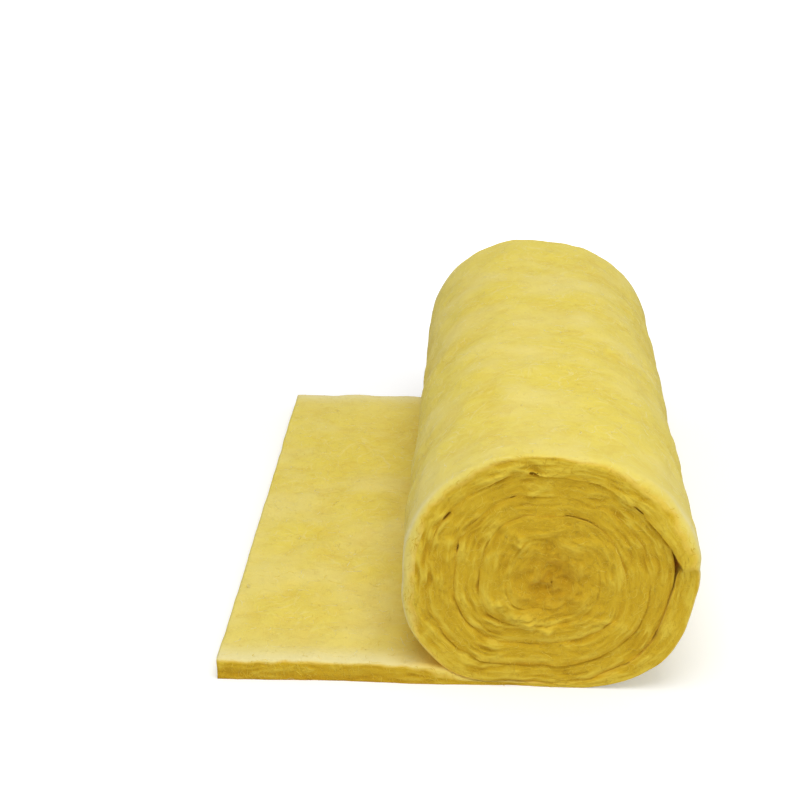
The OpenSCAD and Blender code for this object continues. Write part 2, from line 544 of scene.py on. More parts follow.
class RolledMat:
    """Rolls a flat mat up and gives its surfaces their relief."""

    # Soft noise that the relief follows
    VARYING = Lumps(0.055, 3.1)
    BROAD_DENTS = Lumps(0.13, 2.2)
    SMALL_DENTS = Lumps(0.048, 8.4)
    STRAYING = Lumps(0.035, 4.9)
    ROUGH_PATCHES = Lumps((0.07, 1.0, 0.07), 3.7)
    LAYERS = Lumps((0.060, 0.5, 0.0105), 1.3)
    TUFTING = Lumps((0.026, 0.5, 0.017), 5.9, 3)
    TEARS = Lumps((0.024, 1.0, 0.017), 6.3, 3)
    TUFT_SHAPES = Lumps((0.016, 1.0, 0.009), 7.2)
    TELESCOPING = Lumps((0.20, 0.5, 1.0), 7.7)
    RAGGED_RIM = Lumps(0.022, 2.7)
    BROAD_WANDER = Lumps((0.080, 0.30, 0.080), 4.4)
    SMALL_WANDER = Lumps((0.030, 0.10, 0.030), 9.1)
    # Lengths over which the mat opens out of the roll, lands on the floor and comes under the roll
    OPENING, LANDING, PRESSING = 0.15, 0.10, 0.10
    # How far from the ends of the roll each kind of relief reaches
    STEP_REACH = 0.08
    ROUGH_REACH = FlatMat.ROWS_FROM_EDGE[-1]
    SPLIT_REACH = 0.014
    SLACK_REACH = 0.045
    DENT_REACH = 0.12
    CREASE_REACH = 0.16
    WANDER_REACH = 0.15
    OVERLAP_REACH = 0.03
    CROWN_REACH = 0.15
    LEAN_REACH = 0.20
    SINK_REACH = 0.05
    # How far the layers stray through the mat, the dimple reaches from the eye, the wool stays calm
    # below an open edge, the crown spreads and the floor holds the turns above it
    LAYER_STRAY = 0.004
    DIMPLE_REACH = 0.036
    CALM_REACH = 0.018
    CROWN_BREADTH = 0.10
    HELD_RISE = 0.05
    # Where along X the roll stops sinking in, how thick the pressed wool is, how far above it sinks too
    SINK_END, SINK_THICK, SINK_RISE = 0.12, 0.020, 0.05
    # Angles in radians, up from the crease: the breadth of the crease and of the step beside it, the
    # swell above it, and how soon the rounded shoulder stops there
    CREASE_BREADTH, STEP_BREADTH = 0.035, 0.4
    SWELL_AT, SWELL_BREADTH = 0.22, 0.17
    SHOULDER_STOP = 0.03
    # Angles in radians, up from the right: where the near end bulges out and is pressed in
    BULGE_AT, BULGE_BREADTH = -0.85, 0.33
    PRESS_AT, PRESS_BREADTH = -0.24, 0.24
    # How sharply the last turn closes up again above and below the crease
    CLOSE_ABOVE, CLOSE_BELOW = 6, 13
    # Lengths over which the colours change. Most mark painted shade and light: in the seams, low on the free
    # end, round the eye, in dents, on lips, in the nook and the gaps; the rims are partly loose fibres.
    SEAM_SHADE, LOW_SHADE, CORE_SHADE, DENT_SHADE = 0.0030, 0.010, 0.052, 0.06
    LIP_AT, LIP_BREADTH = 0.006, 0.004
    NOOK_REACH, NOOK_DEPTH = 0.055, 0.004
    LOOSE_REACH, LOOSE_DEPTH = 0.08, 0.006
    POCKET_START, POCKET_REACH = FlatMat.ROWS_FROM_EDGE[0], 0.014

    def __init__(self, flat, winding, relief):
        self.winding = winding
        self.relief = relief
        self.along, self.across, self.depth = flat.T
        self.half = winding.sizes.width / 2
        self.side = np.sign(self.across)
        self.from_edge = self.half - np.abs(self.across)
        self.from_near = self.across + self.half
        self.on_edge = self.from_edge < NEAR
        self.outer, self.inner = winding.faces_at(self.along)
        self.inward = self.inner - self.outer
        self.thick = np.linalg.norm(self.inward, axis=1)
        self.inward = self.inward / self.thick[:, None]
        self.outer_half = self.depth < 0.5
        self.below = self.depth * self.thick
        self.above = (1 - self.depth) * self.thick
        self.on_floor = smooth((self.along - winding.floor_run) / self.LANDING)
        self.wound = 1 - smooth((self.along - winding.last_turn) / self.OPENING)
        self.outer_open = (1 - self.wound) * (1 - self.on_floor)
        self.pressed = self.on_floor * smooth((self.outer[:, 0] - winding.roll_side) / self.PRESSING)
        self.turn = np.searchsorted(winding.turn_starts, self.along, side="right")
        self.half_round = (self.along > winding.half_round) & (self.along < winding.floor_run)
        self.sheet = np.stack([self.along, self.across, self.below], 1)
        self.line = self.sheet * (1, 1, 0)
        self.true = self.outer + self.inward * self.below[:, None]
        self.measure_angles()
        self.vary = clouds(self.line, self.VARYING)
        self.dents = clouds(self.line, self.BROAD_DENTS) + clouds(self.line, self.SMALL_DENTS)
        self.layers, self.tufts = self.layering()
        self.tears = self.tearing()

    def measure_angles(self):
        """Where each vertex lies round the eye and round the right half of the last turn, and how torn,
        ringed and stepped the wool is there."""
        from_eye = self.true - self.winding.eye
        self.from_eye = np.linalg.norm(from_eye, axis=1)
        self.round = np.arctan2(from_eye[:, 1], from_eye[:, 0])
        self.leftward = np.clip(-np.cos(self.round), 0, 1)
        self.sideways = np.cos(self.round) ** 2
        self.torn = bell(self.from_eye, self.relief.core_reach)
        self.ringed = 1 + 0.8 * np.cos(self.round - self.relief.ring_angle)
        self.stepped = smooth((self.ringed - 0.8) / 0.8)
        from_right = self.true - self.winding.right_centre(self.winding.turns)
        self.lift = np.arctan2(from_right[:, 1], from_right[:, 0]) - self.relief.crease_angle

    def near_ends(self, reach):
        """Eases from 1 at the ends of the roll to 0 at that reach from them."""
        return smooth(1 - self.from_edge / reach)

    def layering(self):
        """Layers and tufts on the cut edge, about -1 to 1."""
        stray = self.LAYER_STRAY * clouds(self.line, self.STRAYING)
        sheet = self.sheet + stray[:, None] * (0, 0, 1)
        x, z = self.true.T
        rough = 0.35 + smooth(0.5 + 1.1 * clouds(np.stack([x, self.side, z], 1), self.ROUGH_PATCHES))
        layers = rough * (0.8 - 3.2 * np.abs(clouds(sheet, self.LAYERS)))
        tufts = rough * clouds(sheet, self.TUFTING)
        return layers * (1 - 0.9 * self.torn), tufts * (1 - 0.7 * self.torn)

    def tearing(self):
        """Torn wool round the eye and the tufts that stand out of the ends, as heights."""
        x, z = (self.true - self.winding.eye).T
        place = np.stack([x, self.side, z], 1)
        tears = self.relief.core_tufts * self.torn * clouds(place, self.TEARS)
        shape = np.clip(0.8 + clouds(place, self.TUFT_SHAPES), 0.1, None)
        for across, up, breadth, height in TUFTS:
            away = ((x + self.side * across) ** 2 + (z - up) ** 2) / breadth ** 2
            tears = tears + height * np.exp(-away) * shape
        return tears

    def floor_shoulders(self):
        """Rounding of the free end's edge, broader where the roll presses on it."""
        relief = self.relief
        return relief.floor_shoulder + (relief.pressed_shoulder - relief.floor_shoulder) * self.pressed

    def shoulders(self):
        """Rounding of the last turn's edge: broad at its sides, and tight on top and below the crease."""
        relief = self.relief
        broad = relief.top_shoulder + (relief.side_shoulder - relief.top_shoulder) * self.sideways
        falling = np.where(self.round > 0, np.clip(np.sin(2 * self.round), 0, 1), 0.0)
        broad = broad + relief.corner_shoulder * falling
        above = np.where(self.half_round, smooth(self.lift / self.SHOULDER_STOP), 1.0)
        above = above * smooth(1 + np.sin(self.round) / 0.6)
        kept = np.where(self.side < 0, 0.25 + 0.75 * above, 1.0)
        return broad * kept * (1 + 0.2 * self.vary)

    def edge_dip(self):
        """How far the cut edge lies back: round at the open edges, and dipping at the seams. Where the
        turns stand out in steps, each one dips less on its outer side than on its inner side."""
        relief = self.relief
        dip = relief.seam_depth * np.clip(0.75 + 0.9 * self.vary, 0.05, None) * self.ringed
        dip = dip * (1 - 0.8 * self.torn) * (1 - self.on_floor)
        back = self.outer_open * rounding(self.below, self.shoulders())
        back = back + self.on_floor * rounding(self.above, self.floor_shoulders())
        uneven = 0.6 * self.stepped
        for distance, opened, share in ((self.below, self.outer_open, 1 - uneven),
                                        (self.above, self.on_floor, 1 + uneven)):
            slope = np.clip(1 - distance / relief.seam_reach, 0, 1) ** 2
            back = back + (1 - opened) * share * dip * slope
        return back

    def roughness(self):
        """How far the cut edge stands out in layers and tufts, which are calm at the open edges."""
        relief = self.relief
        rough = relief.layers * self.layers + relief.tufts * self.tufts + self.tears
        calm = 1 - 0.8 * self.outer_open * bell(self.below, self.CALM_REACH)
        return rough * calm * (1 - 0.7 * self.on_floor)

    def across_places(self):
        """Place of each vertex along the roll."""
        relief = self.relief
        telescope = relief.telescope * clouds(self.line, self.TELESCOPING) * (1 - self.torn)
        level = 1 - 0.8 * self.leftward
        telescope = telescope - self.side * relief.lap_step * self.outer_open * level
        step = smooth(0.5 + self.lift / self.CREASE_BREADTH) - 0.5
        step = step * bell(self.lift, self.STEP_BREADTH)
        bent = np.where(self.half_round & (self.side < 0), relief.crease_step * step, 0.0)
        dimple = relief.dimple * bell(self.from_eye, self.DIMPLE_REACH)
        out = (telescope + bent - dimple) * self.near_ends(self.STEP_REACH)
        rough = self.roughness() - self.edge_dip()
        out = out + rough * np.clip(1 - self.from_edge / self.ROUGH_REACH, 0, 1)
        return self.across + self.side * out

    def split(self, turn):
        """How far the seam outside a turn is split open, on the ends of the roll."""
        turned = self.round + np.where(self.side > 0, FAR_TURN, 0.0)
        gap = np.zeros(len(self.along))
        for outside, start, end, width in SPLITS:
            middle, half = math.radians((start + end) / 2), math.radians((end - start) / 2)
            away = np.abs((turned - middle + math.pi) % (2 * math.pi) - math.pi)
            gap += np.where(turn == outside, width / 2 * smooth(1.4 * (1 - away / half)), 0.0)
        return gap * self.near_ends(self.SPLIT_REACH)

    def slack(self):
        """How far the last turn stands off the roll on the right, most at the crease."""
        sizes, crease = self.winding.sizes, self.relief.crease_angle
        above = np.clip(1 - self.lift / (sizes.slack_half_angle - crease), 0, 1) ** self.CLOSE_ABOVE
        below = np.clip(1 + self.lift / (sizes.slack_half_angle + crease), 0, 1) ** self.CLOSE_BELOW
        gap = self.relief.wedge * np.where(self.lift > 0, above, below)
        return np.where(self.half_round, gap, 0.0) * self.near_ends(self.SLACK_REACH)

    def denting(self):
        """Soft dents in the faces that show, inwards."""
        shows = np.where(self.outer_half, self.outer_open, -self.on_floor)
        inland = 0.5 + 0.5 * smooth(self.from_edge / self.DENT_REACH)
        return self.dents * shows * self.relief.dents * inland

    def crease(self):
        """Inward dent of the crease across the last turn, which fades away from the near end."""
        dent = bell(self.lift, self.CREASE_BREADTH)
        dent = dent - 0.9 * bell(self.lift - self.SWELL_AT, self.SWELL_BREADTH)
        near = bell(self.from_near, self.CREASE_REACH)
        return np.where(self.half_round, dent * near, 0.0) * self.relief.crease

    def wander(self, place):
        """Strays the turns from their true line, all that lie together by the same amount."""
        x, z = place.T
        points = np.stack([x, self.across, z], 1)
        stray = drift(points, self.BROAD_WANDER) + 0.45 * drift(points, self.SMALL_WANDER)
        loose = 0.3 + 0.7 * self.near_ends(self.WANDER_REACH)
        held = smooth(z / self.HELD_RISE) * (1 - 0.65 * self.outer_open * (1 - self.depth))
        held = held * (1 + 0.8 * self.torn)
        return stray[:, [0, 2]] * (self.relief.wander * loose * held)[:, None]

    def pressing(self):
        """How far the rims of the turns press into the turns beside them, inwards."""
        outside = np.where(self.depth < NEAR, self.wound, 0.0)
        inside = np.where((self.depth > 1 - NEAR) & (self.turn > 1), 1 - self.on_floor, 0.0)
        return self.relief.overlap * (inside - outside) * self.near_ends(self.OVERLAP_REACH)

    def crown(self, place):
        """How far the top of the roll swells upwards at its ends."""
        x, height = place.T
        last = self.winding.turns
        middle = (self.winding.upper_centre(last)[0] + self.winding.right_x(last)) / 2
        upper = smooth((height - self.winding.eye_z) / self.winding.eye_z)
        upper = upper * bell(x - middle + self.relief.crown_shift, self.CROWN_BREADTH)
        return self.relief.crown * upper * bell(self.from_edge, self.CROWN_REACH)

    def leaning(self, place):
        """Moves the right side of the near end, pressed in below the crease and bulging out lower down."""
        away = place - self.winding.right_centre(self.winding.turns)
        lift = np.arctan2(away[:, 1], away[:, 0])
        out = self.relief.bulge * bell(lift - self.BULGE_AT, self.BULGE_BREADTH)
        out = out - self.relief.pressed_side * bell(lift - self.PRESS_AT, self.PRESS_BREADTH)
        share = np.linalg.norm(away, axis=1) / self.winding.right_radius(self.winding.turns) ** 2
        return away * (out * share * bell(self.from_near, self.LEAN_REACH))[:, None]

    def sinking(self, place):
        """How far the ends of the roll sink into the free end's edges, which they press thin."""
        x, height = place.T
        under = smooth((x - self.winding.roll_side) / self.PRESSING)
        under = under * smooth((self.SINK_END - x) / self.PRESSING)
        rise = np.maximum(height - self.SINK_THICK, 0.0)
        low = smooth(height / self.SINK_THICK) * bell(rise, self.SINK_RISE)
        return self.relief.squeeze * under * low * bell(self.from_edge, self.SINK_REACH)

    def shape(self):
        """Place of every vertex of the rolled mat."""
        inner = self.thick - self.split(self.turn - 1) - self.slack()
        below = np.clip(self.below, self.split(self.turn), inner)
        below = below + self.denting() + self.crease() + self.pressing()
        place = self.outer + self.inward * below[:, None]
        place = place + self.wander(place)
        place = place + self.leaning(place)
        place[:, 1] += self.crown(place) - self.sinking(place)
        place[:, 1] = np.maximum(place[:, 1], 0.0)
        return np.stack([place[:, 0], self.across_places(), place[:, 1]], 1)

    def bare_rim(self):
        """How far the pale faces reach round the open edges onto the cut edge, raggedly."""
        bare = np.where(self.outer_half, self.shoulders() * (1 + 1.1 * self.leftward),
                        self.floor_shoulders() * (1 + 1.8 * self.pressed))
        return bare * np.clip(1 + 0.65 * clouds(self.line, self.RAGGED_RIM), 0.4, None)

    def ridges(self):
        """How far a place on the cut edge is a ridge: its layers, tufts and the lips of stepped turns. The
        colour makes ridges paler and hollows darker, partly as painted highlight and shade.
        """
        ridge = 0.5 + 0.3 * self.layers + 0.4 * self.tufts + 60.0 * self.tears + 0.25 * self.outer_open
        # Painted highlight on the lips of turns that stand out in steps
        lips = bell(self.below - self.LIP_AT, self.LIP_BREADTH) * np.clip(0.7 + self.vary, 0, 1)
        return np.clip(ridge + 0.55 * lips * self.stepped * (1 - self.on_floor), 0, 1)

    def marks(self):
        """Values from 0 to 1 that the wool's colour follows, several of them painted shade and light."""
        opened = np.where(self.outer_half, self.outer_open, self.on_floor)
        hidden = np.where(self.outer_half, self.wound, 1 - self.on_floor)
        shallow = np.where(self.outer_half, self.below, self.above)
        vary = np.clip(0.6 + 0.8 * self.vary, 0, 1) * (0.4 + 0.6 * self.ringed)
        # Painted shade along the seams, where the rims of two turns meet
        seam = decay(shallow, self.SEAM_SHADE) * (1 - opened) * vary
        seam = seam * (1 - 0.7 * self.torn) * (1 - self.on_floor)
        # Painted shade low on the free end's cut edge, next to the floor
        low = self.on_floor * (1 - self.pressed) * decay(self.below, self.LOW_SHADE)
        nook = bell(np.linalg.norm(self.true - self.winding.nook(), axis=1), self.NOOK_REACH)
        aside = np.where(self.on_floor > 0.5, 1.0, 0.15 + 0.85 * self.sideways)
        loose = opened * aside * decay(self.from_edge, self.LOOSE_REACH)
        cut = 1 - opened * np.exp(-(shallow / (0.6 * self.bare_rim())) ** 4)
        dent = np.clip(0.5 + 0.5 * self.dents, 0, 1)
        return {
            "cut": np.where(self.on_edge, cut, hidden),
            "ridge": self.ridges(),
            # Dents in the faces, which the colour darkens as painted shade
            "dent": dent * smooth(self.from_edge / self.DENT_SHADE),
            "groove": np.where(self.on_edge, seam + 1.6 * low, 0.0),
            # Painted bounce light on the faces inside the gaps between the turns
            "pocket": hidden * smooth((self.from_edge - self.POCKET_START) / self.POCKET_REACH),
            # Painted warm shade in the nook between the roll and its free end
            "nook": opened * nook * decay(shallow, self.NOOK_DEPTH),
            # Round the eye: where its wool is torn, and where painted shade darkens its dimple
            "core": bell(self.from_eye, self.CORE_SHADE),
            # Near the open rims and the free end's front edge: loose fibres, and a painted highlight where
            # the rims round over
            "loose": loose * decay(shallow, self.LOOSE_DEPTH),
        }


class Shading:
    """Builds the nodes of a material, one value at a time."""

    def __init__(self, tree):
        self.tree = tree

    def feed(self, socket, value):
        """Links a socket to another one, or sets it to a plain value."""
        if isinstance(value, bpy.types.NodeSocket):
            self.tree.links.new(value, socket)
        else:
            socket.default_value = value

    def node(self, kind, inputs=None, **settings):
        """Adds a node, sets it and feeds its inputs."""
        node = self.tree.nodes.new(kind)
        for name, value in settings.items():
            setattr(node, name, value)
        for socket, value in (inputs or {}).items():
            self.feed(node.inputs[socket], value)
        return node

    def place(self):
        return self.node("ShaderNodeTexCoord").outputs["Object"]

    def attribute(self, name, kind="Fac"):
        return self.node("ShaderNodeAttribute", attribute_name=name).outputs[kind]

    def camera_ray(self):
        return self.node("ShaderNodeLightPath").outputs["Is Camera Ray"]

    def noise(self, vector, scale, detail, roughness=0.55, distortion=0.0):
        """Value of a noise texture."""
        return self.node("ShaderNodeTexNoise", {
            "Vector": vector, "Scale": scale, "Detail": detail, "Roughness": roughness,
            "Distortion": distortion,
        }).outputs["Fac"]

    def stretched(self, vector, scale, turn=0.0):
        """A vector turned about the depth of the mat and then stretched."""
        turned = self.node("ShaderNodeMapping", {"Vector": vector, "Rotation": (0.0, 0.0, turn)})
        inputs = {"Vector": turned.outputs["Vector"], "Scale": scale}
        return self.node("ShaderNodeMapping", inputs).outputs["Vector"]

    def matted(self, vector, scale, turns):
        """Strands that lie across each other, one lot for each turn."""
        highest = 0.0
        for turn in turns:
            strands = self.noise(self.stretched(vector, scale, turn), 1.0, 2.0, 0.5, 1.0)
            highest = self.highest(strands, highest)
        return highest

    def maths(self, operation, *values):
        return self.node("ShaderNodeMath", dict(enumerate(values)), operation=operation).outputs[0]

    def times(self, a, b):
        return self.maths("MULTIPLY", a, b)

    def highest(self, a, b):
        return self.maths("MAXIMUM", a, b)

    def rest(self, value):
        """What a value leaves of 1."""
        return self.maths("SUBTRACT", 1.0, value)

    def total(self, *parts):
        """Sum of values, each times its weight."""
        total = 0.0
        for value, weight in parts:
            total = self.maths("MULTIPLY_ADD", value, weight, total)
        return total

    def ranged(self, value, low, high):
        """A value eased from 0 at low to 1 at high."""
        inputs = {"Value": value, "From Min": low, "From Max": high}
        return self.node("ShaderNodeMapRange", inputs, interpolation_type="SMOOTHSTEP").outputs["Result"]

    def between(self, amount, first, second):
        """Number between two numbers."""
        return self.node("ShaderNodeMix", {0: amount, 2: first, 3: second}).outputs[0]

    def mix(self, amount, first, second):
        """Colour between two colours, which are sockets or linear colours."""
        node = self.node("ShaderNodeMix", {0: amount}, data_type="RGBA")
        for index, value in ((6, first), (7, second)):
            linked = isinstance(value, bpy.types.NodeSocket)
            self.feed(node.inputs[index], value if linked else (*value, 1.0))
        return node.outputs[2]

    def bump(self, strength, distance, height):
        """Normal of a surface with that fine relief."""
        inputs = {"Strength": strength, "Distance": distance, "Height": height}
        return self.node("ShaderNodeBump", inputs).outputs["Normal"]


def new_material(name, finish):
    """A new material with these plain values on its shader, and that shader."""
    material = bpy.data.materials.new(name)
    material.use_nodes = True
    shader = material.node_tree.nodes["Principled BSDF"]
    for socket, value in finish.items():
        shader.inputs[socket].default_value = value
    return material, shader


class WoolShading(Shading):
    """Glass wool: matt yellow fibres, pale where they lie loose and where a highlight is painted on the
    rounded rims, with painted shade in the seams.
    """

    MARKS = ("cut", "ridge", "dent", "groove", "pocket", "nook", "core", "loose")

    def __init__(self, tree, colours):
        super().__init__(tree)
        self.colours = colours
        self.marks = {name: self.attribute(name) for name in self.MARKS}
        # Darker and less pale in the dents of the faces: painted shade
        self.hollow = self.ranged(self.marks["dent"], 0.40, 0.75)
        place = self.place()
        sheet = self.attribute("sheet", "Vector")
        self.patches = self.noise(place, 8.0, 2.0)
        self.clouded = self.noise(self.stretched(place, (6.0, 6.0, 6.0), 2.0), 1.0, 3.0)
        self.wisps = self.noise(place, 42.0, 5.0, 0.6, 1.6)
        self.fuzz = self.noise(place, 230.0, 3.0, 0.7, 0.6)
        layers = self.noise(self.stretched(sheet, (34.0, 34.0, 380.0)), 1.0, 4.0, 0.65, 0.7)
        self.layers = self.between(self.marks["core"], layers, self.wisps)
        warp = self.node("ShaderNodeTexNoise", {"Vector": sheet, "Scale": 16.0, "Detail": 1.0})
        inputs = {0: warp.outputs["Color"], 1: (0.06, 0.06, 0.0), 2: sheet}
        curved = self.node("ShaderNodeVectorMath", inputs, operation="MULTIPLY_ADD").outputs["Vector"]
        self.flakes = self.node("ShaderNodeTexVoronoi", {
            "Vector": curved, "Scale": 34.0, "Detail": 1.0, "Roughness": 0.6,
        }).outputs["Color"]
        self.felt = self.matted(curved, (70.0, 520.0, 520.0), (0.3, 1.35, 2.4))
        self.strands = self.matted(curved, (17.0, 170.0, 170.0), (0.0, 0.9, 1.9))

    def edge(self):
        """Colour of the cut edge, from its hollows to its ridges: partly the wool's own tone, partly painted
        shade in the hollows and painted highlight on the ridges.
        """
        ridge = self.total((self.marks["ridge"], 0.5), (self.layers, 0.5), (self.fuzz, 0.15))
        low = self.mix(self.ranged(ridge, 0.30, 0.64), self.colours.deep, self.colours.middle)
        return self.mix(self.ranged(ridge, 0.58, 0.88), low, self.colours.crest)

    def face(self):
        """Colour of the mat's faces: pale strands and clouds, painted shade in the dents, and paler towards
        the ends, from loose fibres and a painted highlight.
        """
        colours, loose = self.colours, self.marks["loose"]
        light = self.total((self.wisps, 0.4), (self.patches, 0.3), (self.flakes, 0.2), (self.hollow, -0.07))
        face = self.mix(self.ranged(light, 0.26, 0.58), colours.warm, colours.lemon)
        lying = self.highest(self.times(self.ranged(self.strands, 0.56, 0.74), 0.6),
                             self.times(self.ranged(self.clouded, 0.40, 0.66), 0.55))
        # Less pale in the dents: painted shade
        lying = self.times(lying, self.rest(self.times(self.hollow, 0.25)))
        # Paler near the open rims: loose fibres there, and a painted highlight where the rims round over
        lying = self.highest(lying, self.times(loose, 0.9))
        face = self.mix(lying, face, colours.pale)
        # Frost near the rims: partly loose fibres, partly painted highlight
        face = self.mix(self.times(self.ranged(loose, 0.45, 0.95), 0.5), face, colours.frost)
        # Painted warm shade in the nook where the roll meets its free end
        return self.mix(self.times(self.marks["nook"], 0.8), face, colours.nook)

    def base(self):
        """Colour of the wool all over."""
        colours, cut = self.colours, self.marks["cut"]
        base = self.mix(cut, self.face(), self.edge())
        fringe = self.times(cut, self.rest(cut))
        base = self.mix(self.times(fringe, 2.0), base, colours.fringe)
        # Painted shade, darker and browner in the seams, low on the free end and round the eye
        dark = self.highest(self.times(self.marks["groove"], 0.40), self.times(self.marks["core"], 0.60))
        base = self.mix(dark, base, colours.groove)
        # Painted bounce light, orange inside the gaps between the turns
        return self.mix(self.marks["pocket"], base, colours.pocket)

    def height(self):
        """Height of the finest relief: felted fibres all over, layers on the cut edge, flakes elsewhere."""
        cut = self.marks["cut"]
        layered = self.times(self.layers, cut)
        flaked = self.times(self.flakes, self.rest(cut))
        return self.total((self.felt, 0.6), (self.wisps, 0.5), (self.strands, 0.8), (layered, 0.5),
                          (flaked, 0.6), (self.fuzz, 0.45))


def wool_material(colours):
    """The wool of the mat."""
    material, shader = new_material("glass_wool", {
        "Roughness": 0.95,
        "Specular IOR Level": 0.1,
        "Sheen Weight": 0.08,
        "Sheen Roughness": 0.6,
        "Sheen Tint": (1.0, 0.93, 0.62, 1.0),
    })
    wool = WoolShading(material.node_tree, colours)
    wool.feed(shader.inputs["Base Color"], wool.base())
    wool.feed(shader.inputs["Normal"], wool.bump(0.6, 0.003, wool.height()))
    return material


class WOOL_OT_mat(bpy.types.Operator):
    """Models the wound mat with its free end"""

    bl_idname = "wool.mat"
    bl_label = "Wool Mat"

    def execute(self, context):
        scene = context.scene
        noise.seed_set(scene.mat_relief.seed)
        winding = Winding(scene.mat_sizes)
        slab = FlatMat(winding, MAT)
        rolled = RolledMat(slab.places(), winding, scene.mat_relief)
        mat = slab.object
        mesh = mat.data
        sheet = mesh.attributes.new("sheet", "FLOAT_VECTOR", "POINT")
        sheet.data.foreach_set("vector", rolled.sheet.ravel())
        for name, values in rolled.marks().items():
            mesh.attributes.new(name, "FLOAT", "POINT").data.foreach_set("value", values)
        mesh.vertices.foreach_set("co", rolled.shape().ravel())
        mesh.update()
        finish_mesh(mat)
        mesh.materials.append(wool_material(scene.wool_colours))
        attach(mat, BODY)
        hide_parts(NODE)
        return {"FINISHED"}


